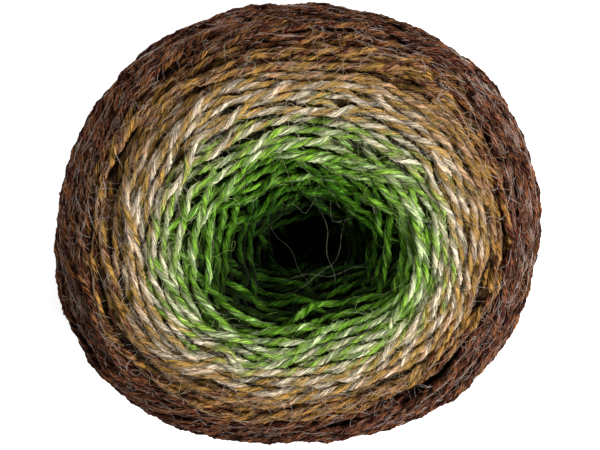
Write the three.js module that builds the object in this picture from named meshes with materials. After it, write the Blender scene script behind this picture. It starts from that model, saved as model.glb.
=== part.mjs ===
// A cake of two-ply wool yarn, wound round a spindle that has been drawn out, lying on its lower face.
// It is one closed solid: an oval ring with a domed upper face, round shoulders, a funnel that runs down
// into the hollow middle, and raised bands that follow the lay of the yarn all the way round the ring.
// Millimetres, +Z up. The origin is under the middle of the cake, at the level that it rests on.
import * as THREE from 'three';

const TURN = 2 * Math.PI;

// Grid of the surface: columns run with the yarn, rows run round the cake
const COLUMNS = 36;
const ROWS = 144;
const BANDS = COLUMNS / 2; // each band is one crest column and one trough column

// The cross-section of the ring, from the waist of the hollow over the upper face and the outer wall,
// under the lower face and back up the hollow. radius is from the axis, height is above the floor, and
// lay is the angle in degrees between the yarn and a level circle round the cake.
const SECTION = [
  { radius: 10.0, height: 39.0, lay: 46 },
  { radius: 11.2, height: 51.0, lay: 42 },
  { radius: 14.8, height: 62.0, lay: 33 },
  { radius: 20.2, height: 70.5, lay: 25 },
  { radius: 27.2, height: 76.0, lay: 19 },
  { radius: 35.5, height: 78.3, lay: 15 },
  { radius: 44.5, height: 77.5, lay: 13 },
  { radius: 53.0, height: 73.6, lay: 13 },
  { radius: 60.0, height: 66.5, lay: 14 },
  { radius: 64.7, height: 57.0, lay: 16 },
  { radius: 66.8, height: 46.0, lay: 17 },
  { radius: 66.8, height: 34.0, lay: 17 },
  { radius: 64.9, height: 21.5, lay: 16 },
  { radius: 60.6, height: 10.5, lay: 14 },
  { radius: 54.0, height: 3.2, lay: 13 },
  { radius: 46.0, height: 0.0, lay: 13 },
  { radius: 37.0, height: 0.0, lay: 15 },
  { radius: 29.5, height: 0.6, lay: 19 },
  { radius: 21.5, height: 4.4, lay: 26 },
  { radius: 15.0, height: 11.0, lay: 34 },
  { radius: 11.0, height: 24.0, lay: 42 },
];

// How the cake departs from round, as cosine lobes: depth is a share of the radius, turn is in degrees
const OUTLINE_LOBES = [
  { lobes: 2, depth: 0.051, turn: 19 },
  { lobes: 3, depth: 0.013, turn: -75 },
  { lobes: 4, depth: 0.013, turn: 164 },
];
const HOLLOW_LOBES = [
  { lobes: 2, depth: 0.13, turn: 10 },
  { lobes: 3, depth: 0.07, turn: -60 },
];
const FACE_DENTS = [
  { lobes: 2, depth: 0.9, turn: 130 },
  { lobes: 3, depth: 0.6, turn: 20 },
];
const DENTS_FROM = 21; // the dents fade in between these heights
const DENTS_FULL = 63;
const HOLLOW_SHIFT = { x: 2.6, y: -3.4 }; // the hollow lies off the middle, towards one corner
const HOLLOW_RADIUS = 14; // inside this the outline is the hollow's own
const BODY_RADIUS = 46; // outside this it is the cake's own

// The raised bands
const BAND_RISE = 0.32; // crest above trough, as a share of the band's width
const UNEVEN_RISE = 0.3; // how much one band differs from the next
const CROSSING_RISE = 0.35; // how much a band dips where others cross it
const CROSSINGS = 9; // dips along a band, once round the section
const CROSSING_BANDS = 3; // bands from one dip to its like on a later band
const REST_HEIGHT = 0.7; // below this the cake is pressed flat by its own weight

const radians = THREE.MathUtils.degToRad;

function lobed(table, angle) {
  return table.reduce((sum, row) => sum + row.depth * Math.cos(row.lobes * angle - radians(row.turn)), 0);
}

// The section as a smooth closed curve: radius, height and lay travel together as x, y and z.
function sectionRows() {
  const corners = SECTION.map((row) => new THREE.Vector3(row.radius, row.height, row.lay));
  const curve = new THREE.CatmullRomCurve3(corners, true, 'centripetal');
  const rows = [];
  for (let i = 0; i < ROWS; i += 1) {
    const at = curve.getPoint(i / ROWS);
    const along = curve.getTangent(i / ROWS);
    const out = new THREE.Vector2(-along.y, along.x).normalize();
    rows.push({ radius: at.x, height: Math.max(at.y, 0), lay: radians(at.z), out, twist: 0 });
  }
  return rows;
}

// How far round the cake the yarn has gone at each row. The whole is a round number of bands, so that
// every band closes on another.
function twistRows(rows) {
  const steps = rows.map((row, i) => {
    const next = rows[(i + 1) % ROWS];
    const travel = Math.hypot(next.radius - row.radius, next.height - row.height);
    return travel / Math.tan((row.lay + next.lay) / 2) / ((row.radius + next.radius) / 2);
  });
  const whole = steps.reduce((sum, step) => sum + step, 0);
  const closing = (Math.round((whole * BANDS) / TURN) * TURN) / BANDS / whole;
  let twist = 0;
  rows.forEach((row, i) => {
    row.twist = twist;
    twist += steps[i] * closing;
  });
  return Math.round((twist * BANDS) / TURN);
}

// How far the surface stands over the plain form: half the rise up on a crest, half down in a trough
function bandRise(row, column, index) {
  if (row.height < REST_HEIGHT) return 0;
  const width = ((TURN * row.radius) / BANDS) * Math.sin(row.lay);
  const band = Math.floor(column / 2);
  if (column % 2 === 1) return -0.5 * BAND_RISE * width;
  const uneven = 1 + UNEVEN_RISE * Math.cos(band * band);
  const dips = (TURN * CROSSINGS * index) / ROWS + (TURN * band) / CROSSING_BANDS;
  const crossing = 1 + CROSSING_RISE * Math.cos(dips);
  return 0.5 * BAND_RISE * width * uneven * crossing;
}

// One point of the surface, with the oval outline, the shifted hollow and the dented face
function surfacePoint(row, angle, rise) {
  const radius = row.radius + row.out.x * rise;
  const height = row.height + row.out.y * rise;
  const body = THREE.MathUtils.smoothstep(row.radius, HOLLOW_RADIUS, BODY_RADIUS);
  const shape = 1 + body * lobed(OUTLINE_LOBES, angle) + (1 - body) * lobed(HOLLOW_LOBES, angle);
  const upper = THREE.MathUtils.smoothstep(row.height, DENTS_FROM, DENTS_FULL);
  return new THREE.Vector3(
    (1 - body) * HOLLOW_SHIFT.x + radius * shape * Math.cos(angle),
    (1 - body) * HOLLOW_SHIFT.y + radius * shape * Math.sin(angle),
    Math.max(height + upper * lobed(FACE_DENTS, angle), 0),
  );
}

function woundGeometry() {
  const rows = sectionRows();
  const bandsRound = twistRows(rows);
  const positions = [];
  rows.forEach((row, i) => {
    for (let j = 0; j < COLUMNS; j += 1) {
      const angle = (TURN * j) / COLUMNS + row.twist;
      positions.push(...surfacePoint(row, angle, bandRise(row, j, i)).toArray());
    }
  });
  // The last row meets the first one, a round number of bands further on.
  const vertex = (i, j) => {
    const onward = i === ROWS ? 2 * bandsRound : 0;
    return (i % ROWS) * COLUMNS + ((((j + onward) % COLUMNS) + COLUMNS) % COLUMNS);
  };
  const faces = [];
  for (let i = 0; i < ROWS; i += 1) {
    for (let j = 0; j < COLUMNS; j += 1) {
      const corner = vertex(i, j);
      const beside = vertex(i, j + 1);
      const ahead = vertex(i + 1, j);
      const across = vertex(i + 1, j + 1);
      faces.push(corner, ahead, beside, beside, ahead, across);
    }
  }
  const geometry = new THREE.BufferGeometry();
  geometry.setAttribute('position', new THREE.Float32BufferAttribute(positions, 3));
  geometry.setIndex(faces);
  geometry.computeBoundingBox();
  const middle = geometry.boundingBox.getCenter(new THREE.Vector3());
  geometry.translate(-middle.x, -middle.y, 0);
  geometry.computeVertexNormals();
  return geometry;
}

function yarnCake() {
  const wool = new THREE.MeshStandardMaterial({ color: 0x6b4526, roughness: 0.95, metalness: 0 });
  const cake = new THREE.Mesh(woundGeometry(), wool);
  cake.name = 'yarn_cake';
  return cake;
}

const part = new THREE.Group();
part.add(yarnCake());

export default part;
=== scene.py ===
import math

import bpy
import numpy as np
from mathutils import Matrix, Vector


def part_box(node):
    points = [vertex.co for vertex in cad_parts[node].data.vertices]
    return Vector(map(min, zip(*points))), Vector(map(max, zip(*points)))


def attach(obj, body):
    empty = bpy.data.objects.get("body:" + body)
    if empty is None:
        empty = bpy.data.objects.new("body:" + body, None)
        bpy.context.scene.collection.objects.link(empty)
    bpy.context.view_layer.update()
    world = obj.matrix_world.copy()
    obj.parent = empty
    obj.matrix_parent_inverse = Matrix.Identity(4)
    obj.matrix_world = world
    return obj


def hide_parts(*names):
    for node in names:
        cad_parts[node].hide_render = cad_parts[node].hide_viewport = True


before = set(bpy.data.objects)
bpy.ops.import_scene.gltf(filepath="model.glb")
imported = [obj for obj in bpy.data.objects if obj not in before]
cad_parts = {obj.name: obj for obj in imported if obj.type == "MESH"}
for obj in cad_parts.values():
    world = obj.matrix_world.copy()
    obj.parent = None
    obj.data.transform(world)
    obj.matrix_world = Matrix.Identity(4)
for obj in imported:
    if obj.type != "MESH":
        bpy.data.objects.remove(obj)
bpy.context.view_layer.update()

# The camera. It looks down on the upper face from just short of straight above, and leans a few degrees
# towards the edge that is uppermost in the picture. It stands well back, so the outline is nearly true.
LENS = 120.0  # millimetres
CAMERA_DISTANCE = 0.585  # metres, from the widest line of the cake
CAMERA_LEAN = math.radians(4.5)
WIDEST_LINE = 0.040  # height over the floor
PICTURE_MIDDLE = (0.0008, -0.0006)  # where the middle of the picture falls on the cake

camera = bpy.data.objects.new("camera", bpy.data.cameras.new("camera"))
camera.data.lens = LENS
camera.location = (
    PICTURE_MIDDLE[0],
    PICTURE_MIDDLE[1] + CAMERA_DISTANCE * math.sin(CAMERA_LEAN),
    WIDEST_LINE + CAMERA_DISTANCE * math.cos(CAMERA_LEAN),
)
camera.rotation_euler = (-CAMERA_LEAN, 0, 0)
bpy.context.scene.collection.objects.link(camera)
bpy.context.scene.camera = camera

# The form of the cake. Turns of yarn build up an oval ring round a spindle that is drawn out at the end, so
# its section runs from the hollow's waist over the domed face and down the wall, and back underneath.
# Sizes are millimetres, as a maker gives them, and points are turned into metres.
MM = 0.001
TURN = 2 * math.pi
SECTION = [  # radius from the spindle's line, height over the floor
    (10.0, 39.0),
    (11.2, 51.0),
    (14.8, 62.0),
    (20.2, 70.5),
    (27.2, 76.0),
    (35.5, 78.3),
    (44.5, 77.5),
    (53.0, 73.6),
    (60.0, 66.5),
    (64.7, 57.0),
    (66.8, 46.0),
    (66.8, 34.0),
    (64.9, 21.5),
    (60.6, 10.5),
    (54.0, 3.2),
    (46.0, 0.0),
    (37.0, 0.0),
    (29.5, 0.6),
    (21.5, 4.4),
    (15.0, 11.0),
    (11.0, 24.0),
]
SECTION_STEPS = 64  # points between two rows of the section
OUTLINE_STEPS = 360  # round the cake, to find where the form's outline reaches
OUTLINE_SKIPS = 8  # points of the section for one row of that outline
OUTLINE_LOBES = [(2, 0.051, 19), (3, 0.013, -75), (4, 0.013, 164)]  # lobes, share of the radius, degrees
HOLLOW_LOBES = [(2, 0.13, 10), (3, 0.07, -60)]
FACE_DENTS = [(2, 0.9, 130), (3, 0.6, 20)]  # lobes, millimetres, degrees
DENTS_BETWEEN = (21.0, 63.0)  # heights between which the dents fade in
HOLLOW_SHIFT = (2.6, -3.4)
BODY_BETWEEN = (14.0, 46.0)  # radii between which the hollow's outline gives way to the cake's own


def loop_through(corners, steps):
    """A smooth closed curve through the corners."""
    at = np.arange(len(corners) * steps) / steps
    here = at.astype(int)
    t = (at - here)[:, None]
    a, b, c, d = (np.array(corners)[(here + k) % len(corners)] for k in (-1, 0, 1, 2))
    return 0.5 * (2 * b + (c - a) * t + (2 * a - 5 * b + 4 * c - d) * t**2 + (3 * b - a - 3 * c + d) * t**3)


def smooth_between(value, low, high):
    t = np.clip((value - low) / (high - low), 0, 1)
    return t * t * (3 - 2 * t)


def lobed(table, angle):
    return sum(depth * np.cos(lobes * angle - math.radians(turn)) for lobes, depth, turn in table)


section = loop_through(SECTION, SECTION_STEPS)
section = np.vstack([section, section[:1]])
section_travel = np.concatenate([[0], np.cumsum(np.hypot(*np.diff(section, axis=0).T))])
SECTION_LENGTH = section_travel[-1]
section_way = np.gradient(section, section_travel, axis=0)
section_way[0] = section_way[-1] = (section_way[1] + section_way[-2]) / 2


def section_at(travel):
    """Radius, height and outward direction of the plain section, at a travel along it from the waist."""
    travel = np.mod(travel, SECTION_LENGTH)
    radius, height, way_out, way_up = (
        np.interp(travel, section_travel, column) for column in (*section.T, *section_way.T)
    )
    size = np.hypot(way_out, way_up)
    return radius, height, -way_up / size, way_out / size


def on_form(angle, travel, rise):
    """Millimetre points at an angle round the cake, a travel along its section and a rise over its form."""
    radius, height, out, up = section_at(travel)
    body = smooth_between(radius, *BODY_BETWEEN)
    shape = 1 + body * lobed(OUTLINE_LOBES, angle) + (1 - body) * lobed(HOLLOW_LOBES, angle)
    reach = (radius + out * rise) * shape
    dents = smooth_between(height, *DENTS_BETWEEN) * lobed(FACE_DENTS, angle)
    return np.stack(
        [
            (1 - body) * HOLLOW_SHIFT[0] + reach * np.cos(angle),
            (1 - body) * HOLLOW_SHIFT[1] + reach * np.sin(angle),
            np.maximum(height + up * rise + dents, 0),
        ],
        axis=-1,
    )


outline_round = np.linspace(0, TURN, OUTLINE_STEPS + 1)
outline_angle, outline_travel = np.meshgrid(outline_round, section_travel[::OUTLINE_SKIPS])
outline = on_form(outline_angle, outline_travel, 0.0).reshape(-1, 3)
cake_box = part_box("yarn_cake")
form_middle = (outline.min(0) + outline.max(0)) / 2
FORM_SHIFT = np.array(
    [(cake_box[0][k] + cake_box[1][k]) / 2 / MM - form_middle[k] for k in (0, 1)] + [0.0]
)


def on_cake(angle, travel, rise):
    """Points in metres, with the form centred where the solid is."""
    return (on_form(angle, travel, rise) + FORM_SHIFT) * MM


# The yarn. Two plies of carded wool, each about half the yarn's width, are twisted round each other to the
# left. They were dyed apart, so each changes colour at its own length: one from green to ochre to dark
# brown, the other from green to cream to brown. Loose fibres stand out all over it.
TIP_RADIUS = 1.30  # over both plies
SIDE_RADIUS = 1.10
GROOVE_RADIUS = 0.84  # in the groove between them
YARN_SIDES = 8
YARN_SECTION = [TIP_RADIUS, SIDE_RADIUS, GROOVE_RADIUS, SIDE_RADIUS] * 2
PLY_SHARE = [1.0, 1.0, 0.5, 0.0, 0.0, 0.0, 0.5, 1.0]  # which ply each side of the section belongs to
TWIST_PITCH = 10.5  # millimetres for a full turn of the two plies
FIBRE_STRETCH = 0.15  # how much shorter the fibres' pattern is made along the yarn
RING_STEP = 1.45  # length of yarn between two rings of its mesh
SLUB_SWELL = 0.07  # how much thicker a slub is, as a share of the girth
SLUB_WAVE = 0.9  # slubs along the yarn, in radians for a millimetre
LONG_SWELL = 0.05
LONG_WAVE = 0.37
END_GIRTH = 0.55  # at the hidden ends of a stretch
FIBRES_APART = (10, 7)  # how far the patterns of two turns' fibres lie apart, across and along


class Shade:
    """A socket of a material's nodes, so that its maths is written as sums."""

    def __init__(self, nodes, socket=None):
        self.nodes = nodes
        self.socket = socket

    def node(self, kind, settings, sockets, output=0):
        """Any node, from its type, its settings, the values or links of its sockets, and its output."""
        node = self.nodes.new(kind)
        for name, value in settings.items():
            if name == "stops":
                Shade.set_stops(node.color_ramp, value)
            else:
                setattr(node, name, value)
        for name, value in sockets.items():
            if isinstance(value, Shade):
                self.nodes.id_data.links.new(value.socket, node.inputs[name])
            else:
                node.inputs[name].default_value = value
        return Shade(self.nodes, node.outputs[output] if len(node.outputs) else None)

    @staticmethod
    def set_stops(ramp, stops):
        while len(ramp.elements) < len(stops):
            ramp.elements.new(1.0)
        for element, (place, colour) in zip(ramp.elements, stops):
            element.position = place
            element.color = colour

    def maths(self, operation, first, second):
        return self.node("ShaderNodeMath", {"operation": operation}, {0: first, 1: second})

    def __add__(self, other):
        return self.maths("ADD", self, other)

    def __mul__(self, other):
        return self.maths("MULTIPLY", self, other)

    def __sub__(self, other):
        return self.maths("SUBTRACT", self, other)

    def __rsub__(self, other):
        return self.maths("SUBTRACT", other, self)

    __radd__ = __add__
    __rmul__ = __mul__

    def mark(self, name, output="Fac"):
        """A value that the mesh's points carry."""
        return self.node("ShaderNodeAttribute", {"attribute_name": name}, {}, output)

    def noise(self, place, scale, detail):
        return self.node("ShaderNodeTexNoise", {}, {"Vector": place, "Scale": scale, "Detail": detail})

    def eased(self, low, high, to_low=0.0, to_high=1.0):
        """The value, eased from to_low at low to to_high at high."""
        return self.node(
            "ShaderNodeMapRange",
            {"interpolation_type": "SMOOTHSTEP"},
            {"Value": self, "From Min": low, "From Max": high, "To Min": to_low, "To Max": to_high},
        )

    def ramp(self, stops):
        return self.node("ShaderNodeValToRGB", {"stops": stops}, {"Fac": self})

    def mix(self, factor, first, second, blend="MIX"):
        settings = {"data_type": "RGBA", "blend_type": blend}
        return self.node("ShaderNodeMix", settings, {0: factor, 6: first, 7: second}, 2)

    def scaled(self, colour, factor):
        """A colour made darker or lighter by a value."""
        grey = self.node("ShaderNodeCombineColor", {}, {"Red": factor, "Green": factor, "Blue": factor})
        return self.mix(1.0, colour, grey, "MULTIPLY")


def screen_colour(red, green, blue):
    """A colour as seen on a screen, in parts of 255, for a shader's socket."""
    parts = [part / 255 for part in (red, green, blue)]
    return (*[p / 12.92 if p < 0.04045 else ((p + 0.055) / 1.055) ** 2.4 for p in parts], 1.0)


# The stops up to 0.20 of both plies are the green darkened nearly to black: painted shade of the deep
# hollow, where the innermost turns lie.
FIRST_PLY_DYES_AND_SHADE = [
    (0.00, screen_colour(16, 36, 4)),
    (0.10, screen_colour(34, 74, 6)),
    (0.20, screen_colour(66, 118, 12)),
    (0.30, screen_colour(116, 178, 34)),
    (0.47, screen_colour(148, 190, 66)),
    (0.53, screen_colour(190, 150, 70)),
    (0.83, screen_colour(162, 118, 56)),
    (0.92, screen_colour(118, 72, 42)),
    (1.00, screen_colour(92, 54, 36)),
]
SECOND_PLY_DYES_AND_SHADE = [
    (0.00, screen_colour(20, 42, 5)),
    (0.10, screen_colour(40, 84, 10)),
    (0.20, screen_colour(76, 128, 20)),
    (0.28, screen_colour(134, 192, 66)),
    (0.38, screen_colour(216, 232, 178)),
    (0.48, screen_colour(240, 228, 200)),
    (0.61, screen_colour(240, 224, 200)),
    (0.69, screen_colour(206, 158, 116)),
    (0.78, screen_colour(82, 40, 29)),
    (1.00, screen_colour(54, 24, 18)),
]
FIBRE_DYES = [  # of the fibres that took less dye, in both plies
    (0.00, screen_colour(60, 110, 20)),
    (0.14, screen_colour(104, 164, 40)),
    (0.26, screen_colour(170, 210, 100)),
    (0.50, screen_colour(240, 220, 176)),
    (0.72, screen_colour(212, 170, 104)),
    (0.88, screen_colour(172, 116, 68)),
    (1.00, screen_colour(136, 82, 54)),
]
PALE_SHARE = 0.65  # how pale those fibres get
FIBRE_SCALE = 2.4
PALE_SCALE = FIBRE_SCALE * 1.7
DARK_SCALE = FIBRE_SCALE * 0.8
SLUB_SCALE = 0.5
SLUB_DYE = 0.3  # how far a slub takes its dye from further along the gradient
PLY_STRAY = 1.6  # how far the fibres of one ply stray over the other
PLY_EDGE = (0.15, 0.85)  # how soft the line between the two plies is
PALE_OVER = (0.52, 0.66)  # levels of a noise between which the fibres turn pale, or dark
DARK_OVER = (0.50, 0.66)
MOST_NOISE = (0.36, 0.64)  # levels that most of a noise lies between
GROOVE_WIDTH = (0.0, 0.16)
BROWN_FROM = (0.7, 0.9)  # how far along the yarn the brown begins, and where it is whole
BROWN_STREAKS = (0.42, 0.58, 0.75, -0.6)  # levels of the streaks, and how much darker brown wool is there
PAINTED_SHADE_BETWEEN = (0.05, 1.05)
GROOVE_PAINTED_SHADES = (0.62, 1.0)  # painted shade, in the groove and on the plies
STREAK_SHADES = (0.4, 1.7)
SLUB_SHADES = (0.82, 1.2)
DARK_SHADES = (1.0, 0.30)
PAINTED_SHADE_LEVELS = (1.0, 0.06)  # painted shade, in the open and deep in the pile
FIBRE_RELIEF = 0.00025  # metres that the fibres stand out of a ply
RELIEF_SHARE = 0.6


def yarn_finish():
    """Wool of two dyed plies: the dye by how far along the yarn it is, streaked along its fibres, with
    painted shade in the groove between the plies, deep in the pile and in the hollow.
    """
    material = bpy.data.materials.new("two_ply_wool")
    material.use_nodes = True
    nodes = material.node_tree.nodes
    nodes.clear()
    sheet = Shade(nodes)
    fibre = sheet.mark("fibre", "Vector")
    streaks = sheet.noise(fibre, FIBRE_SCALE, 3.0)
    slubs = sheet.noise(fibre, SLUB_SCALE, 1.0)
    wound = sheet.mark("wound") + (slubs - 0.5) * SLUB_DYE
    first = wound.ramp(FIRST_PLY_DYES_AND_SHADE)
    second = wound.ramp(SECOND_PLY_DYES_AND_SHADE)
    ply = (sheet.mark("ply") + (streaks - 0.5) * PLY_STRAY).eased(*PLY_EDGE)
    colour = sheet.mix(ply, second, first)
    pale_fibres = sheet.noise(fibre, PALE_SCALE, 2.0).eased(*PALE_OVER)
    colour = sheet.mix(pale_fibres * PALE_SHARE, colour, wound.ramp(FIBRE_DYES))
    dark_fibres = sheet.noise(fibre, DARK_SCALE, 2.0).eased(*DARK_OVER, *DARK_SHADES)
    brown_shade = 1 - sheet.mark("wound").eased(*BROWN_FROM) * streaks.eased(*BROWN_STREAKS)
    # Painted shade in the groove between the two plies.
    groove = (sheet.mark("ply") - 0.5) * (sheet.mark("ply") - 0.5)
    shade = groove.eased(*GROOVE_WIDTH, *GROOVE_PAINTED_SHADES) * streaks.eased(*MOST_NOISE, *STREAK_SHADES)
    shade = shade * brown_shade * slubs.eased(*MOST_NOISE, *SLUB_SHADES) * dark_fibres
    # Painted shade, deep in the pile and in the hollow.
    shade = shade * sheet.mark("sunk").eased(*PAINTED_SHADE_BETWEEN, *PAINTED_SHADE_LEVELS)
    colour = sheet.scaled(colour, shade)
    relief_sockets = {"Strength": RELIEF_SHARE, "Distance": FIBRE_RELIEF, "Height": streaks}
    fibre_relief = sheet.node("ShaderNodeBump", {}, relief_sockets)
    wool = sheet.node(
        "ShaderNodeBsdfPrincipled",
        {},
        {
            "Base Color": colour,
            "Roughness": 0.92,
            "Specular IOR Level": 0.08,
            "Sheen Weight": 0.04,
            "Sheen Roughness": 0.55,
            "Sheen Tint": screen_colour(226, 206, 190),
            "Normal": fibre_relief,
        },
    )
    sheet.node("ShaderNodeOutputMaterial", {}, {"Surface": wool})
    return material


WOOL = yarn_finish()

# The winding. The yarn is laid turn on turn. Each turn slides into the hollow between those that are there
# already, rests on what is under it, and bridges the dips. What is under the turns is kept as a relief of
# small cells over the whole form.
CELL = 0.42
BED = 0.0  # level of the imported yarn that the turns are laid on
SOFT_RADIUS = 1.05  # how near two turns settle to each other
LAY_STEP = 0.4  # between two steps along a turn
LATERAL_STEP = 0.3  # between two steps across it
HALF_WIDTH_STEPS = 3  # from the middle of a turn to its edge, in those steps
SLIDE_STEPS = 5  # how far a turn may slide sideways, in those steps
LEVEL = -0.45  # where the pile of turns settles in the end, over the form
STANDS_OUT = 2.1  # how far a turn can stand out from that level
WALL_FIRMER = 0.45  # share of that which the taut turns of the wall press away
TUCK = 1.7  # how far the two ends of a laid length go under its neighbours
TUCK_STEPS = 12
BRIDGE = 7  # steps over which a taut turn evens out its rise

cell_rows = int(SECTION_LENGTH / CELL)
row_travel = (np.arange(cell_rows) + 0.5) * SECTION_LENGTH / cell_rows
row_cells = np.ceil(TURN * section_at(row_travel)[0] / CELL).astype(int)
row_start = np.concatenate([[0], np.cumsum(row_cells)])[:-1]
relief = np.full(int(row_cells.sum()), BED)


def cell_at(angle, travel):
    row = np.minimum((np.mod(travel / SECTION_LENGTH, 1) * cell_rows).astype(int), cell_rows - 1)
    cell = np.minimum((np.mod(angle / TURN, 1) * row_cells[row]).astype(int), row_cells[row] - 1)
    return row_start[row] + cell


def evened(values, reach):
    """Values along a turn, evened out by a bell curve over a reach of steps, with the ends held."""
    weights = np.exp(-0.5 * (np.arange(-3 * reach, 3 * reach + 1) / reach) ** 2)
    return np.convolve(np.pad(values, 3 * reach, mode="edge"), weights / weights.sum(), mode="valid")


def beside(angle, travel, offset):
    """The place at an offset to the left of a path, for each offset in a row of them."""
    radius = section_at(travel)[0]
    way_round = np.gradient(angle) * radius
    way_along = np.gradient(travel)
    size = np.hypot(way_round, way_along)
    round_offset = -way_along / size / radius
    along_offset = way_round / size
    return angle[:, None] + round_offset[:, None] * offset, travel[:, None] + along_offset[:, None] * offset


footprint = np.arange(-HALF_WIDTH_STEPS, HALF_WIDTH_STEPS + 1) * LATERAL_STEP
dome = np.sqrt(SOFT_RADIUS**2 - footprint**2)
turns_laid = []


def even_steps(angle, travel, step):
    """A path at even steps of its length."""
    radius = section_at((travel[1:] + travel[:-1]) / 2)[0]
    length = np.concatenate([[0], np.cumsum(np.hypot(np.diff(angle) * radius, np.diff(travel)))])
    at = np.linspace(0, length[-1], max(int(length[-1] / step), 2) + 1)
    return np.interp(at, length, angle), np.interp(at, length, travel)


def lay_turn(angle, travel, wound, group, pull=0.0):
    """Lays one turn of yarn on what is there, pulled to its right, and keeps it for the mesh."""
    angle, travel = even_steps(angle, travel, LAY_STEP)
    slides = np.arange(-SLIDE_STEPS, SLIDE_STEPS + 1)
    widest = SLIDE_STEPS + HALF_WIDTH_STEPS
    across = np.arange(-widest, widest + 1) * LATERAL_STEP
    under = relief[cell_at(*beside(angle, travel, across))]
    cost = []
    for k in range(len(slides)):
        needed = (under[:, k : k + len(footprint)] + dome).max(1)
        cost.append(evened(needed, 2 * BRIDGE) + slides[k] * LATERAL_STEP * pull)
    slide = evened(slides[np.argmin(cost, axis=0)] * LATERAL_STEP, BRIDGE)
    angle, travel = (place[:, 0] for place in beside(angle, travel, slide[:, None]))
    cells = cell_at(*beside(angle, travel, footprint))
    needed = (relief[cells] + dome).max(1)
    from_end = np.minimum(np.arange(len(needed)), np.arange(len(needed))[::-1])
    rise = evened(needed, BRIDGE) - TUCK * (1 - smooth_between(from_end, 0, TUCK_STEPS))
    np.maximum.at(relief, cells, rise[:, None] + dome)
    turns_laid.append({"angle": angle, "travel": travel, "rise": rise, "wound": wound, "group": group})


# The order of winding. Each turn swings in from the wall over a face, comes nearest the hollow and swings
# out again. The nearest point moves round the cake from turn to turn and outwards as the cake grows. Next
# to the hollow the turns are chords between a few corners, and further out they follow the ring.
luck = np.random.default_rng(20)
FACE_SPREAD = 0.137  # turns of the cake from one nearest point to the next
SHOULDER_RADIUS = 53.0  # past this a face curves down into the wall
CHORDS_TO = 23.0  # turns inside this radius are straight chords
RINGS_FROM = 30.0  # turns outside this one follow the ring
CHORD_SIDES = [48, 118, 182, 236, 304, 355]  # degrees that the chords' middles face
CHORD_SKIPS = 5  # sides from one chord to the next
HALF_CHORD = (46, 54)  # degrees from a chord's middle to its ends
RING_LONGER = 20  # degrees that half a ring's turn is longer
FACE_POINTS = 120
FACE_MAP_POINTS = 600
UNDER_WAIST = 0.001  # where the lower face begins, so that it isn't taken for the upper one
RING_FALL = 3.4  # how far outwards a turn swings at its ends
FALL_VARIES = (0.7, 1.3)
CHORD_WANDERS = 0.2  # millimetres that a turn wanders from its path
RING_WANDERS = 0.35  # and how much more a ring's turn does
WANDER_WAVE = 2.3
NEAREST_JITTER = 0.4
CORNER_JITTER = 5  # degrees
SPREAD_JITTER = 0.02  # turns of the cake
RING_SHIFT = 2.2  # how far the rings lie off the middle, on the side that the hollow does
SHIFT_BETWEEN = (18.0, 32.0, 42.0, 58.0)  # radii where that shift starts, is whole, and ends
KINK_DEPTH = 2.8  # at one place the upper face's turns were pushed inwards
KINK_FACING = math.radians(237)
KINK_WIDTH = math.radians(8)
KINK_BETWEEN = (26.0, 36.0, 42.0, 52.0)
SNUG = 0.55  # pull of a face's turns towards the hollow
INSIDE_YARN = 57.0  # millimetres of radius from the innermost turn to the outermost
HOLLOW_TURNS = 20
HOLLOW_SPAN = 22.0  # travel each way from the waist
HOLLOW_STEEP = 13.0  # travel along the hollow for a radian round it
HOLLOW_SPREAD = 0.381  # turns of the cake from one turn in the hollow to the next
HOLLOW_POINTS = 80
HOLLOW_JITTER = 1.0
# the hollow's turns take the first, darkest stops, which are painted shade
HOLLOW_WOUND = (0, 0.1)
LOWER_LAYERS = [(26, (14.0, 58.0)), (16, (14.0, 22.0)), (38, (22.0, 60.0))]  # turns, from and to a radius
UPPER_LAYERS = [(12, (12.5, 20.0)), (28, (20.0, 60.0)), (16, (12.5, 18.5))]
LAST_LAYERS = [(30, (18.5, 31.0)), (52, (31.0, 61.0))]
SPRUNG_FACING = math.radians(110)
SPRUNG_RADIUS = 18.5
SPRUNG_HALF = 1.0  # radians from its middle to its ends
SPRUNG_WOUND = 0.27
WALL_LAYERS = [  # cycles, swings of the first and the last from the widest line, how far along the yarn
    (9, (45.0, 37.0), (0.74, 0.78)),
    (12, (41.0, 34.0), (0.80, 0.86)),
    (30, (37.0, 29.0), (0.88, 1.0)),
]
WIDEST_TRAVEL = SECTION_LENGTH / 2 + 2
GOLDEN = 0.618  # steps of this share of a whole never fall together
SHARP_TURN = 0.10  # how much more sharply than a wave a pass turns at a shoulder
WALL_ROUNDS = 2  # times round the cake in a cycle, and then on by one cycle's share of a round
WALL_POINTS = 800
WALL_JITTER = 1.2
ROUNDS_JITTER = 0.004


def wound_at(radius):
    """How far along the yarn a turn at this radius is, from 0 inside to 1 outside."""
    return (radius - SECTION[0][0]) / INSIDE_YARN


def face_map(travel):
    """Radii of a face from the hollow outwards, which run on evenly past the shoulder, and their travel."""
    radius = section_at(travel)[0]
    shoulder = int(np.argmax(radius > SHOULDER_RADIUS))
    radius[shoulder:] = radius[shoulder] + abs(travel[shoulder:] - travel[shoulder])
    order = np.argsort(radius)
    return radius[order], travel[order]


upper_face = face_map(np.linspace(0, SECTION_LENGTH / 2, FACE_MAP_POINTS))
lower_face = face_map(np.linspace(SECTION_LENGTH - UNDER_WAIST, SECTION_LENGTH / 2, FACE_MAP_POINTS))


def inside_of(radius, limits):
    """1 between the two middle limits, and less towards the outer ones."""
    return smooth_between(radius, *limits[:2]) - smooth_between(radius, *limits[2:])


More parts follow.
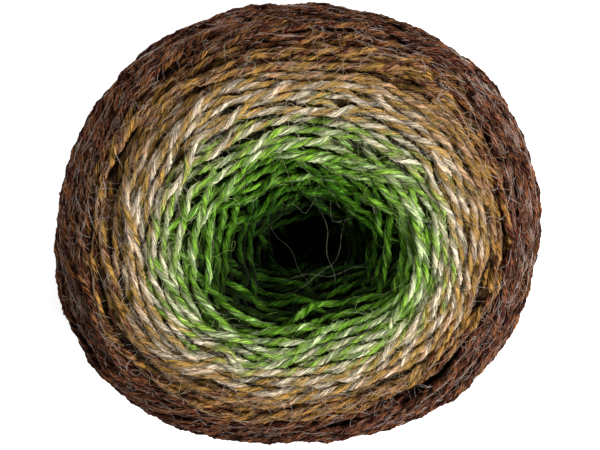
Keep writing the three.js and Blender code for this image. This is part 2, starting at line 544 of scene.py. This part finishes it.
def lay_face(turns, radii, face, pull, group):
    """Turns over a face, the nearest point of each a little further out than that of the last."""
    for i in range(turns):
        nearest = radii[0] + (radii[1] - radii[0]) * i / turns + luck.normal(0, NEAREST_JITTER)
        ring = smooth_between(nearest, CHORDS_TO, RINGS_FROM)
        side = CHORD_SIDES[(i * CHORD_SKIPS) % len(CHORD_SIDES)]
        middle = math.radians(side + luck.normal(0, CORNER_JITTER))
        if ring >= 0.5:
            middle = TURN * (i * FACE_SPREAD + luck.normal(0, SPREAD_JITTER))
        half = math.radians(luck.uniform(*HALF_CHORD) + RING_LONGER * ring)
        swing = np.linspace(-half, half, FACE_POINTS)
        chord = nearest / np.cos(swing) - nearest
        follows = RING_FALL * luck.uniform(*FALL_VARIES) * (swing / half) ** 2
        wanders = luck.normal(0, CHORD_WANDERS + RING_WANDERS * ring)
        wander = wanders * np.sin(WANDER_WAVE * swing + luck.uniform(0, TURN))
        radius = nearest + (1 - ring) * chord + ring * follows + wander
        radius -= RING_SHIFT * inside_of(nearest, SHIFT_BETWEEN) * np.sin(middle + swing)
        if group == "upper":
            from_kink = np.mod(middle + swing - KINK_FACING + math.pi, TURN) - math.pi
            kink = np.exp(-((from_kink / KINK_WIDTH) ** 2))
            radius -= KINK_DEPTH * inside_of(nearest, KINK_BETWEEN) * kink
        lay_turn(middle + swing, np.interp(radius, *face), wound_at(nearest), group, pull)


def lay_wall(cycles, swings, wound, angle):
    """Cycles up the wall and down again, each beside the last, so that they end all round the cake."""
    end = 0.0
    stage = np.linspace(0, 1, WALL_POINTS)
    wave = (np.cos(TURN * stage) + SHARP_TURN * np.cos(3 * TURN * stage)) / (1 + SHARP_TURN)
    for i in range(cycles):
        swing = swings[0] + (swings[1] - swings[0]) * (i * GOLDEN % 1)
        start, top, end = end, *luck.normal(0, WALL_JITTER, 2)
        strays = np.interp(stage, [0, 0.5, 1], [start, top, end])
        path = angle + TURN * (WALL_ROUNDS + 1 / cycles + luck.normal(0, ROUNDS_JITTER)) * stage
        angle = path[-1]
        wound_now = wound[0] + (wound[1] - wound[0]) * i / (cycles - 1)
        lay_turn(path, WIDEST_TRAVEL + swing * wave + strays, wound_now, "wall")
    return angle


for i in range(HOLLOW_TURNS):
    way = 1 if i % 2 else -1
    drop = np.linspace(-HOLLOW_SPAN, HOLLOW_SPAN, HOLLOW_POINTS)
    path = TURN * i * HOLLOW_SPREAD + way * drop / HOLLOW_STEEP
    lay_turn(path, drop + luck.normal(0, HOLLOW_JITTER), luck.uniform(*HOLLOW_WOUND), "hollow")
for turns, radii in LOWER_LAYERS:
    lay_face(turns, radii, lower_face, -SNUG, "lower")
for turns, radii in UPPER_LAYERS:
    lay_face(turns, radii, upper_face, SNUG, "upper")
# One paler turn that has sprung straight across the edge of the hollow.
sprung = np.linspace(-SPRUNG_HALF, SPRUNG_HALF, FACE_POINTS)
sprung_travel = np.interp(SPRUNG_RADIUS / np.cos(sprung), *upper_face)
lay_turn(SPRUNG_FACING + sprung, sprung_travel, SPRUNG_WOUND, "upper")
for turns, radii in LAST_LAYERS:
    lay_face(turns, radii, upper_face, SNUG, "upper")
wall_angle = 0.0
for cycles, swings, wound in WALL_LAYERS:
    wall_angle = lay_wall(cycles, swings, wound, wall_angle)

# The settling. Where more turns cross, the pile presses down on itself under the yarn's tension, so all of
# it comes to one level over the form and only its fine relief is left.
PILE_ROWS = 56
PILE_COLUMNS = 72
WALL_BETWEEN = (57.0, 65.0)  # radii between which the face gives way to the wall
EVEN_BETWEEN = (14.0, 34.0)  # radii between which the pile's level stops being the same all round

cell_row = np.repeat(np.arange(cell_rows), row_cells)
cell_place = (np.arange(relief.size) - row_start[cell_row] + 0.5) / row_cells[cell_row]
patch = (cell_row * PILE_ROWS // cell_rows) * PILE_COLUMNS + (cell_place * PILE_COLUMNS).astype(int)
# The mean of the cubes, so that the turns on top count for more than the gaps.
pile = np.cbrt(np.bincount(patch, relief**3) / np.bincount(patch)).reshape(PILE_ROWS, PILE_COLUMNS)
for axis in (0, 1, 0, 1):
    pile = (np.roll(pile, 1, axis) + 2 * pile + np.roll(pile, -1, axis)) / 4
pile_radius = section_at((np.arange(PILE_ROWS) + 0.5) * SECTION_LENGTH / PILE_ROWS)[0]
even_round = 1 - smooth_between(pile_radius, *EVEN_BETWEEN)
pile += even_round[:, None] * (pile.mean(1, keepdims=True) - pile)


def settled(angle, travel, rise):
    """A rise in the pile as laid, turned into the rise over the form once the pile has settled."""
    row = np.mod(travel / SECTION_LENGTH, 1) * PILE_ROWS - 0.5
    column = np.mod(angle / TURN, 1) * PILE_COLUMNS - 0.5
    first_row, first_column = np.floor(row).astype(int), np.floor(column).astype(int)
    down, across = row - first_row, column - first_column
    level = 0
    for i, row_share in ((0, 1 - down), (1, down)):
        for j, column_share in ((0, 1 - across), (1, across)):
            patch_level = pile[(first_row + i) % PILE_ROWS, (first_column + j) % PILE_COLUMNS]
            level = level + row_share * column_share * patch_level
    stands_out = STANDS_OUT * (1 - WALL_FIRMER * smooth_between(section_at(travel)[0], *WALL_BETWEEN))
    return LEVEL + stands_out * np.tanh((rise - level) / stands_out)


# The turns that show. Yarn that later turns cover is left out but for a short end under them, and each
# stretch that shows is a closed two-ply mesh.
SHOWS_UNDER = 0.45  # a turn shows where less than this lies over some part of its width
HIDDEN_END = 5  # steps that a stretch runs on under its neighbours
SHORTEST = 8
END_DIP = 2.4  # how far the ends of a laid length dive into the pile
DIP_STEPS = 14
OPEN_UNDER = 0.3  # fibres grow where a turn's painted shade is less than this
SINKS_OVER = 3.0  # a turn this far under its surroundings gets full painted shade
SINKS_FROM = TIP_RADIUS * 0.45  # how far the surroundings rise over a turn before it gets painted shade
SINKS_REACH = 3  # steps over which that is evened out
SURROUNDINGS = np.linspace(-3.2, 3.2, 9)  # offsets to each side of a turn
HOLLOW_SHADE = (10.0, 31.0)  # radii between which the painted shade of the hollow gives out
HOLLOW_DARKEST = 0.85
HOLLOW_LEAN = 11.0  # how much further in that is on the side that faces the light, where less shade is painted
# the side of the hollow, round the cake, where its painted shade is least
LIT_SIDE = math.radians(80)
FACE_PROPORTION = 1.3  # length of a face along the yarn, for its width round the yarn
MAP_MARGIN = 0.03
MAP_GIRTH = 0.94  # what the margins leave of a row of the map
CAP_RADIUS = 0.4  # of an end of the yarn on the map


def make_piece(name, points, faces, places, marks, material):
    """A mesh piece, from its points, its faces by number of sides, its map and its points' marks."""
    mesh = bpy.data.meshes.new(name)
    corners = np.concatenate([group.ravel() for group in faces])
    sides = np.concatenate([np.full(len(group), group.shape[1]) for group in faces])
    mesh.vertices.add(len(points))
    mesh.vertices.foreach_set("co", points.astype(np.float32).ravel())
    mesh.loops.add(len(corners))
    mesh.loops.foreach_set("vertex_index", corners.astype(np.int32))
    mesh.polygons.add(len(sides))
    mesh.polygons.foreach_set("loop_start", (np.cumsum(sides) - sides).astype(np.int32))
    mesh.polygons.foreach_set("use_smooth", np.ones(len(sides), bool))
    mesh.update(calc_edges=True)
    mesh.uv_layers.new(name="OFBake").data.foreach_set("uv", places.astype(np.float32).ravel())
    for mark, values in marks.items():
        kind, field = ("FLOAT", "value") if values.ndim == 1 else ("FLOAT_VECTOR", "vector")
        mesh.attributes.new(mark, kind, "POINT").data.foreach_set(field, values.astype(np.float32).ravel())
    mesh.materials.append(material)
    piece = bpy.data.objects.new(name, mesh)
    bpy.context.scene.collection.objects.link(piece)
    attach(piece, "root")
    return piece


def make_lengths(name, lengths, sides, material):
    """One piece of many closed lengths. Each has rings of points (metres) and marks for each point."""
    quads, caps, quad_slots, cap_slots = [], [], [], []
    start = 0
    slot = 0
    beside_side = np.roll(np.arange(sides), -1)
    for length in lengths:
        rings = len(length["points"]) // sides
        ring = start + np.arange(rings)[:, None] * sides
        near, far = ring[:-1], ring[1:]
        side = np.arange(sides)
        quads.append(np.stack([near + side, far + side, far + beside_side, near + beside_side], -1))
        quad_slots.append(slot + 1 + np.arange(rings - 1))
        caps.append(np.stack([ring[0] + side, ring[-1] + side[::-1]]))
        cap_slots.append([slot, slot + rings])
        start += rings * sides
        slot += rings + 1
    # The map is cut into rows of equal length, each as tall as the yarn's girth.
    rows = max(int(math.sqrt(slot / sides / FACE_PROPORTION)), 1)
    in_row = math.ceil(slot / rows)

    def on_map(slots, across, up):
        row, place = np.divmod(slots, in_row)
        high = (row + MAP_MARGIN + MAP_GIRTH * up) / rows
        return np.stack(np.broadcast_arrays((place + across) / in_row, high), -1)

    quad_slots = np.concatenate(quad_slots)[:, None, None]
    side = np.arange(sides)[None, :, None]
    quad_places = on_map(quad_slots, np.array([0, 1, 1, 0]), (side + np.array([0, 0, 1, 1])) / sides)
    cap_slots = np.array(cap_slots).reshape(-1, 1)
    cap_angle = TURN * np.arange(sides) / sides
    cap_across, cap_up = (0.5 + CAP_RADIUS * part for part in (np.cos(cap_angle), np.sin(cap_angle)))
    cap_places = on_map(cap_slots, cap_across, cap_up)
    faces = [np.concatenate(quads).reshape(-1, 4), np.concatenate(caps)]
    places = np.concatenate([quad_places.reshape(-1, 2), cap_places.reshape(-1, 2)])
    marks = {
        mark: np.concatenate([length[mark] for length in lengths])
        for mark in lengths[0]
        if mark != "points"
    }
    points = np.concatenate([length["points"] for length in lengths])
    return make_piece(name, points, faces, places, marks, material)


def shown_stretches(turn):
    """First and last step of each stretch of a turn that shows."""
    over = relief[cell_at(*beside(turn["angle"], turn["travel"], footprint))]
    shows = (over - turn["rise"][:, None] - dome < SHOWS_UNDER).any(1)
    reach = np.ones(2 * HIDDEN_END + 1)
    shows = np.convolve(shows, reach, mode="same") > 0
    edges = np.flatnonzero(np.diff(np.concatenate([[0], shows.astype(int), [0]])))
    return [(a, b) for a, b in edges.reshape(-1, 2) if b - a > SHORTEST]


def sunk(turn):
    """How much painted shade each step of a turn gets, from 0 in the open to 1 deep in the pile, more in
    the hollow and less on the hollow's side that faces the light.
    """
    over = relief[cell_at(*beside(turn["angle"], turn["travel"], SURROUNDINGS))]
    depth = over.mean(1) - turn["rise"] - SINKS_FROM
    lit_radius = section_at(turn["travel"])[0] + HOLLOW_LEAN * np.cos(turn["angle"] - LIT_SIDE)
    in_hollow = (1 - smooth_between(lit_radius, *HOLLOW_SHADE)) * HOLLOW_DARKEST
    return np.clip(evened(depth, SINKS_REACH) / SINKS_OVER + in_hollow, 0, 1)


def rings_round(middle, up, size, turned):
    """Rings of points round a path in space, each point at a size and at an angle turned from up."""
    way = np.gradient(middle, axis=0)
    way /= np.linalg.norm(way, axis=1)[:, None]
    left = np.cross(up, way)
    left /= np.linalg.norm(left, axis=1)[:, None]
    up = np.cross(way, left)
    across = np.cos(turned)[..., None] * up[:, None] + np.sin(turned)[..., None] * left[:, None]
    points = middle[:, None] + size[..., None] * MM * across
    points[..., 2] = np.maximum(points[..., 2], 0)
    return points.reshape(-1, 3)


def two_ply(middle, up, along, wound, depth, twist):
    """The mesh of one stretch: rings of the two plies, turning round each other along the yarn."""
    rings = len(middle)
    spin = TURN * along / TWIST_PITCH + twist
    slubs = SLUB_SWELL * np.sin(along * SLUB_WAVE + twist)
    uneven = 1 + slubs + LONG_SWELL * np.sin(along * LONG_WAVE + 2 * twist)
    uneven[[0, -1]] *= END_GIRTH
    side = TURN * np.arange(YARN_SIDES) / YARN_SIDES
    whole = np.ones((rings, YARN_SIDES))
    girth = np.array(YARN_SECTION)
    fibre = np.stack(
        [
            whole * girth * np.cos(side),
            whole * girth * np.sin(side) + FIBRES_APART[0] * twist,
            whole * along[:, None] * FIBRE_STRETCH + FIBRES_APART[1] * twist,
        ],
        -1,
    )
    return {
        "points": rings_round(middle, up, girth * uneven[:, None], side + spin[:, None]),
        "wound": (whole * wound).ravel(),
        "ply": (whole * np.array(PLY_SHARE)).ravel(),
        # the painted shade of each ring
        "sunk": (whole * depth[:, None]).ravel(),
        "fibre": fibre.reshape(-1, 3),
    }


def laid_stretch(turn, first, last, shade, twist):
    """The mesh of a laid turn from one step to another, on the settled pile."""
    steps = np.arange(first, last)
    at = np.linspace(first, last - 1, max(int((last - first) * LAY_STEP / RING_STEP), 3))
    rows = (turn["angle"], turn["travel"], turn["rise"], shade)
    angle, travel, rise, depth = (np.interp(at, steps, row[first:last]) for row in rows)
    from_end = np.minimum(at, len(turn["rise"]) - 1 - at)
    rise = settled(angle, travel, rise) - END_DIP * (1 - smooth_between(from_end, 0, DIP_STEPS))
    middle = on_cake(angle, travel, rise)
    up = on_cake(angle, travel, rise + 1) - middle
    return two_ply(middle, up, at * LAY_STEP, turn["wound"], depth, twist)


PIECES_OF = {"hollow": 1, "upper": 5, "lower": 3, "wall": 6}  # that each part's turns are kept in
roots = []  # the steps of turns that loose fibres can grow from
for group, count in PIECES_OF.items():
    turns = [turn for turn in turns_laid if turn["group"] == group]
    for k in range(count):
        lengths = []
        for turn in turns[k * len(turns) // count : (k + 1) * len(turns) // count]:
            shade = sunk(turn)
            twist = luck.uniform(0, TURN)
            for first, last in shown_stretches(turn):
                lengths.append(laid_stretch(turn, first, last, shade, twist))
                open_steps = first + np.flatnonzero(shade[first:last] < OPEN_UNDER)
                roots += [(turn, step) for step in open_steps]
        piece = make_lengths(f"{group}_turns_{k + 1}", lengths, YARN_SIDES, WOOL)
        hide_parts("yarn_cake")

# The innermost turns. When the spindle is drawn out a few of them let go of the wall and sag across the
# foot of the hollow.
SAGGED_TURNS = 12
SAGGED_TRAVEL = (-22.0, 6.0)
SAGGED_ROUND = (1.8, 3.0)  # radians from one end to the other
SAGGED_SLOPE = 4  # how far one end is up the hollow from the other
SAGGED_JITTER = 0.2
SAGGED_HOLD = -1.5  # rise of their ends, which are held under the form
# the sagged turns take the darkest stops, which are painted shade
SAGGED_WOUND = 0.03
# painted shade of the sagged turns
SAGGED_PAINTED_SHADE = 0.3
SAG = 3.5  # how far the middle of one hangs down

lengths = []
for i in range(SAGGED_TURNS):
    start = TURN * i * HOLLOW_SPREAD + luck.normal(0, SAGGED_JITTER)
    travel = luck.uniform(*SAGGED_TRAVEL)
    ends = on_cake(
        np.array([start, start + luck.uniform(*SAGGED_ROUND)]),
        np.array([travel, travel + luck.normal(0, SAGGED_SLOPE)]),
        np.array([SAGGED_HOLD, SAGGED_HOLD]),
    )
    share = np.linspace(0, 1, max(int(np.linalg.norm(ends[1] - ends[0]) / MM / RING_STEP), 4))
    middle = ends[0] + (ends[1] - ends[0]) * share[:, None]
    middle[:, 2] -= SAG * MM * np.sin(math.pi * share)
    up = np.tile([0.0, 0.0, 1.0], (len(share), 1))
    along = share * np.linalg.norm(ends[1] - ends[0]) / MM
    depth = np.full(len(share), SAGGED_PAINTED_SHADE)
    lengths.append(two_ply(middle, up, along, SAGGED_WOUND, depth, luck.uniform(0, TURN)))
sagged = make_lengths("sagged_turns", lengths, YARN_SIDES, WOOL)
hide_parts("yarn_cake")

# The loose fibres. Carded wool sheds fibre ends all along the yarn: short ones that lie nearly with the
# turns, and long ones that curl over them. They took less dye than the plies, so they are paler.
FIBRE_SIDES = 3
FIBRE_TIP = 0.4  # share of a fibre's width that is left at its tip
BARE_FIBRE = screen_colour(255, 246, 236)
LONG_RADIUS = 0.038
LONG_FIBRES = 4400
LONG_STEP = 0.9
LONG_LENGTH = (2.5, 3.5, 22)  # the least, the mean of what comes on top, and the most
LONG_BEND = 0.5  # radians for a millimetre
LONG_CURL = (0.6, 0.2, 0.6)  # the even share of the bend, and the waves of the rest for a millimetre
LONG_OVER = 0.2  # how far over the turns a fibre lies
LONG_LIFT = (0.1, 1.2)
LONG_SPAN = (0.6, 1.1)  # share of the lift's wave that a fibre goes through
LONG_WIDTH = np.array([-0.9, 0.0, 0.9])  # offsets where a fibre feels the turns under it
LONG_EVENED = 5  # steps over which it bridges them
LIFT_LOST = 0.8  # share of the lift that is pressed away on the wall
WALL_FROM = (60, 66)
BARE_FROM = (16, 52)  # radii between which bare fibres begin: none show in the hollow, so it stays dark as painted shade
HALO_RADIUS = 0.042
HALO_FIBRES = 24000
HALO_RINGS = 2
HALO_LENGTH = (1.8, 5.5)
HALO_STRAY = 0.6  # to the side of its turn
HALO_NEAREST = 0.3  # square of its least height over the middle of its turn
HALO_OVER = (-0.15, 0.3)
HALO_WOUND = 0.05  # how far its dye strays along the yarn
HALO_BARE = (0.9, 2.5)  # how bare the barest is, and how rare such fibres are
FIBRES_FROM = (12, 34)  # radii between which fibres begin to show
UNDER_HEIGHT = 12  # below this the cake rests on its fibres, and few stand out
UNDER_SHARE = 0.3
FIBRE_PIECES = 2  # of each kind
BARELY_APART = 1e-6  # radians, so that a fibre has a direction where its turn ends


def fibre_finish():
    material = bpy.data.materials.new("loose_fibre")
    material.use_nodes = True
    nodes = material.node_tree.nodes
    nodes.clear()
    sheet = Shade(nodes)
    dyed = sheet.mark("wound").ramp(FIBRE_DYES)
    colour = sheet.mix(sheet.mark("bare"), dyed, BARE_FIBRE)
    wool = sheet.node(
        "ShaderNodeBsdfPrincipled",
        {},
        {"Base Color": colour, "Roughness": 0.7, "Specular IOR Level": 0.3},
    )
    sheet.node("ShaderNodeOutputMaterial", {}, {"Surface": wool})
    return material


def fibre_length(angle, travel, rise, radius, wound, bare):
    """The mesh of one fibre along a path, marked for its colour."""
    rings = len(angle)
    rise = settled(angle, travel, rise)
    middle = on_cake(angle, travel, rise)
    up = on_cake(angle, travel, rise + 1) - middle
    size = np.full((rings, FIBRE_SIDES), radius)
    size[-1] *= FIBRE_TIP
    side = TURN * np.arange(FIBRE_SIDES) / FIBRE_SIDES
    return {
        "points": rings_round(middle, up, size, side + 0 * size),
        "wound": np.full(rings * FIBRE_SIDES, wound),
        "bare": np.full(rings * FIBRE_SIDES, bare),
    }


def long_fibre(turn, step):
    """A fibre that leaves its turn, wanders over the others and lifts off them."""
    least, more, most = LONG_LENGTH
    length = min(least + luck.exponential(more), most)
    rings = max(int(length / LONG_STEP), 3) + 1
    along = np.arange(rings) * LONG_STEP
    even, *waves = LONG_CURL
    bend = luck.normal(0, LONG_BEND)
    bend = bend * (even + np.sin(along * luck.uniform(*waves) + luck.uniform(0, TURN)))
    heading = luck.uniform(0, TURN)
    heading = heading + np.cumsum(bend * LONG_STEP)
    travel = turn["travel"][step] + np.cumsum(np.sin(heading)) * LONG_STEP
    radius = section_at(travel)[0]
    angle = turn["angle"][step] + np.cumsum(np.cos(heading) / radius) * LONG_STEP
    under = relief[cell_at(*beside(angle, travel, LONG_WIDTH))].max(1)
    under = np.pad(under, LONG_EVENED // 2, mode="edge")
    under = np.convolve(under, np.ones(LONG_EVENED) / LONG_EVENED, mode="valid")
    lift = luck.uniform(*LONG_LIFT) * (1 - LIFT_LOST * smooth_between(radius, *WALL_FROM))
    lifted = np.sin(math.pi * np.minimum(along / along[-1] * luck.uniform(*LONG_SPAN), 1))
    rise = under + LONG_OVER + lift * lifted
    bare = luck.uniform(0, 1) * smooth_between(radius[0], *BARE_FROM)
    return fibre_length(angle, travel, rise, LONG_RADIUS, turn["wound"], bare)


def halo_fibre(turn, step):
    """A short fibre that lies along its turn and strays a little to one side."""
    at = step + np.linspace(0, luck.uniform(*HALO_LENGTH) / LAY_STEP, HALO_RINGS)
    steps = np.arange(len(turn["rise"]))
    angle, travel, rise = (np.interp(at, steps, turn[row]) for row in ("angle", "travel", "rise"))
    angle = angle + BARELY_APART * np.arange(HALO_RINGS)
    stray = luck.normal(0, HALO_STRAY) + np.linspace(-1, 1, HALO_RINGS) * luck.normal(0, HALO_STRAY)
    angle, travel = (place[:, 0] for place in beside(angle, travel, stray[:, None]))
    over = np.sqrt(np.maximum(TIP_RADIUS**2 - stray**2, HALO_NEAREST)) + luck.uniform(*HALO_OVER)
    wound = turn["wound"] + luck.normal(0, HALO_WOUND)
    bare = luck.uniform(0, HALO_BARE[0]) ** HALO_BARE[1]
    return fibre_length(angle, travel, rise + over, HALO_RADIUS, wound, bare)


root_radius, root_height = section_at(np.array([turn["travel"][step] for turn, step in roots]))[:2]
root_share = smooth_between(root_radius, *FIBRES_FROM)
root_share = root_share * np.where(root_height < UNDER_HEIGHT, UNDER_SHARE, 1.0)
root_share /= root_share.sum()
FIBRE = fibre_finish()
for name, fibre, count in (("long", long_fibre, LONG_FIBRES), ("halo", halo_fibre, HALO_FIBRES)):
    for k in range(FIBRE_PIECES):
        picked = luck.choice(len(roots), count // FIBRE_PIECES, p=root_share)
        make_lengths(f"{name}_fibres_{k + 1}", [fibre(*roots[r]) for r in picked], FIBRE_SIDES, FIBRE)

# The hairs in the hollow. A few long hairs of the wool have worked loose there. Each is caught in the turns
# at its two ends, and curls across the mouth of the hollow between them.
HOLLOW_HAIRS = 7
HAIR_RADIUS = 0.017
HAIR_POINTS = 26
HAIR_ROUND = (0.5, 2.8)  # radians from one end to the other
HAIR_TRAVEL = (10, 30)  # from the waist, where an end is caught
HAIR_BOW = 4  # to one side
HAIR_WAVE = (0.3, 1.1)
HAIR_CURLS = (6, 14)  # radians of that wave from end to end
HAIR_LIFT = (0, 3)  # over the line between its ends
HAIR_WOUND = 0.3
HAIR_BARE = (0.4, 1.0)

lengths = []
for i in range(HOLLOW_HAIRS):
    facing = luck.uniform(0, TURN)
    end_angles = facing + luck.uniform(*HAIR_ROUND) * np.array([0, 1])
    ends = on_cake(end_angles, luck.uniform(*HAIR_TRAVEL, 2), np.zeros(2))
    share = np.linspace(0, 1, HAIR_POINTS)[:, None]
    way = ends[1] - ends[0]
    aside = np.cross(way, (0, 0, 1)) / np.linalg.norm(way)
    bow = luck.normal(0, HAIR_BOW) * np.sin(math.pi * share)
    bow = bow + luck.uniform(*HAIR_WAVE) * np.sin(luck.uniform(*HAIR_CURLS) * share)
    middle = ends[0] + way * share + aside * bow * MM
    middle[:, 2:] += luck.uniform(*HAIR_LIFT) * MM * np.sin(math.pi * share)
    whole = np.ones((len(share), FIBRE_SIDES))
    up = np.tile([0.0, 0.0, 1.0], (len(share), 1))
    side = TURN * np.arange(FIBRE_SIDES) / FIBRE_SIDES
    lengths.append(
        {
            "points": rings_round(middle, up, whole * HAIR_RADIUS, side * whole),
            "wound": whole.ravel() * HAIR_WOUND,
            "bare": whole.ravel() * luck.uniform(*HAIR_BARE),
        }
    )
make_lengths("hollow_hairs", lengths, FIBRE_SIDES, FIBRE)

# The imported yarn under the turns that show. It is the same yarn, in painted shade, full in the hollow and
# a little less outside it, with painted shade in grooves along the lay, so that it reads as dark ridges in
# the gaps.
BED_COLUMNS = 110
BED_ROWS = 84
BED_RIDGES = (2.6, 6)  # radians of its ridges for a millimetre of travel and a radian round the cake
UNDER_TURNS = 1.0
BED_SHADE_LIFT = 0.4  # how much less painted shade it has outside the hollow
bed_angle = TURN * np.arange(BED_COLUMNS) / BED_COLUMNS
bed_travel = SECTION_LENGTH * np.arange(BED_ROWS) / BED_ROWS
angle, travel = np.meshgrid(bed_angle, bed_travel)
bed_points = on_cake(angle, travel, settled(angle, travel, BED) - UNDER_TURNS).reshape(-1, 3)
row, column = np.meshgrid(np.arange(BED_ROWS), np.arange(BED_COLUMNS), indexing="ij")
next_row, next_column = (row + 1) % BED_ROWS, (column + 1) % BED_COLUMNS
bed_faces = np.stack(
    [
        row * BED_COLUMNS + column,
        next_row * BED_COLUMNS + column,
        next_row * BED_COLUMNS + next_column,
        row * BED_COLUMNS + next_column,
    ],
    -1,
).reshape(-1, 4)
bed_places = np.stack(
    [
        (column[..., None] + np.array([0, 0, 1, 1])) / BED_COLUMNS,
        (row[..., None] + np.array([0, 1, 1, 0])) / BED_ROWS,
    ],
    -1,
).reshape(-1, 2)
radius = section_at(travel)[0]
bed_marks = {
    "wound": wound_at(radius).ravel(),
    # ridges along the lay, for the painted shade of the grooves
    "ply": (0.5 + 0.5 * np.sin(travel * BED_RIDGES[0] + BED_RIDGES[1] * angle)).ravel(),
    "sunk": (1 - BED_SHADE_LIFT * smooth_between(radius, *EVEN_BETWEEN)).ravel(),
    "fibre": np.stack([travel, 0 * travel, angle * radius * FIBRE_STRETCH], -1).reshape(-1, 3),
}
bed = make_piece("packed_yarn_painted_shade", bed_points, [bed_faces], bed_places, bed_marks, WOOL)
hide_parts("yarn_cake")

# The floor and the light. A plain pale table that glows a little, as under a product picture, and is
# painted near black under the middle of the cake as painted shade; a large soft lamp at the lower right, a
# weaker one beyond the upper edge, a faint one at the left, and even light from all round.
FLOOR_SIZE = 6.0
FLOOR_GLOW = 0.75
GLOW_AND_SHADE_FROM = (0.035, 0.05)  # metres from the middle of the cake: nothing glows under the hollow, and there the table is painted near black as painted shade
LAMPS = [  # name, place, size, power
    ("key_box", (0.50, -0.32, 0.62), 0.26, 5.9),
    ("back_box", (0.05, 0.62, 0.58), 0.30, 2.4),
    ("left_box", (-0.60, 0.10, 0.55), 0.30, 0.2),
]
LAMPS_FACE = (0, 0, 0.05)
ROUND_LIGHT = 0.12


def table_finish():
    material = bpy.data.materials.new("pale_table_painted_shade")
    material.use_nodes = True
    nodes = material.node_tree.nodes
    nodes.clear()
    sheet = Shade(nodes)
    place = sheet.node("ShaderNodeNewGeometry", {}, {}, "Position")
    away = sheet.node("ShaderNodeVectorMath", {"operation": "LENGTH"}, {0: place}, "Value")
    glow = sheet.mix(away.eased(*GLOW_AND_SHADE_FROM), (0, 0, 0, 1), (1, 1, 1, 1))
    pale = sheet.node(
        "ShaderNodeBsdfPrincipled",
        {},
        {
            # painted shade: near black under the middle of the cake
            "Base Color": sheet.mix(away.eased(*GLOW_AND_SHADE_FROM), screen_colour(8, 8, 8), screen_colour(250, 250, 250)),
            "Roughness": 0.9,
            "Specular IOR Level": 0.1,
            "Emission Color": glow,
            "Emission Strength": FLOOR_GLOW,
        },
    )
    sheet.node("ShaderNodeOutputMaterial", {}, {"Surface": pale})
    return material


floor_mesh = bpy.data.meshes.new("floor")
floor_half = FLOOR_SIZE / 2
floor_corners = [(floor_half * x, floor_half * y, 0) for x, y in ((-1, -1), (1, -1), (1, 1), (-1, 1))]
floor_mesh.from_pydata(floor_corners, [], [(0, 1, 2, 3)])
floor_mesh.materials.append(table_finish())
floor = bpy.data.objects.new("floor", floor_mesh)
bpy.context.scene.collection.objects.link(floor)

for name, place, size, power in LAMPS:
    lamp = bpy.data.objects.new(name, bpy.data.lights.new(name, "AREA"))
    lamp.data.size = size
    lamp.data.energy = power
    lamp.location = place
    lamp.rotation_euler = (Vector(place) - Vector(LAMPS_FACE)).to_track_quat("Z", "Y").to_euler()
    bpy.context.scene.collection.objects.link(lamp)

world = bpy.data.worlds.new("world")
world.use_nodes = True
world.node_tree.nodes["Background"].inputs["Color"].default_value = (1, 1, 1, 1)
world.node_tree.nodes["Background"].inputs["Strength"].default_value = ROUND_LIGHT
bpy.context.scene.world = world
bpy.context.scene.view_settings.view_transform = "Standard"
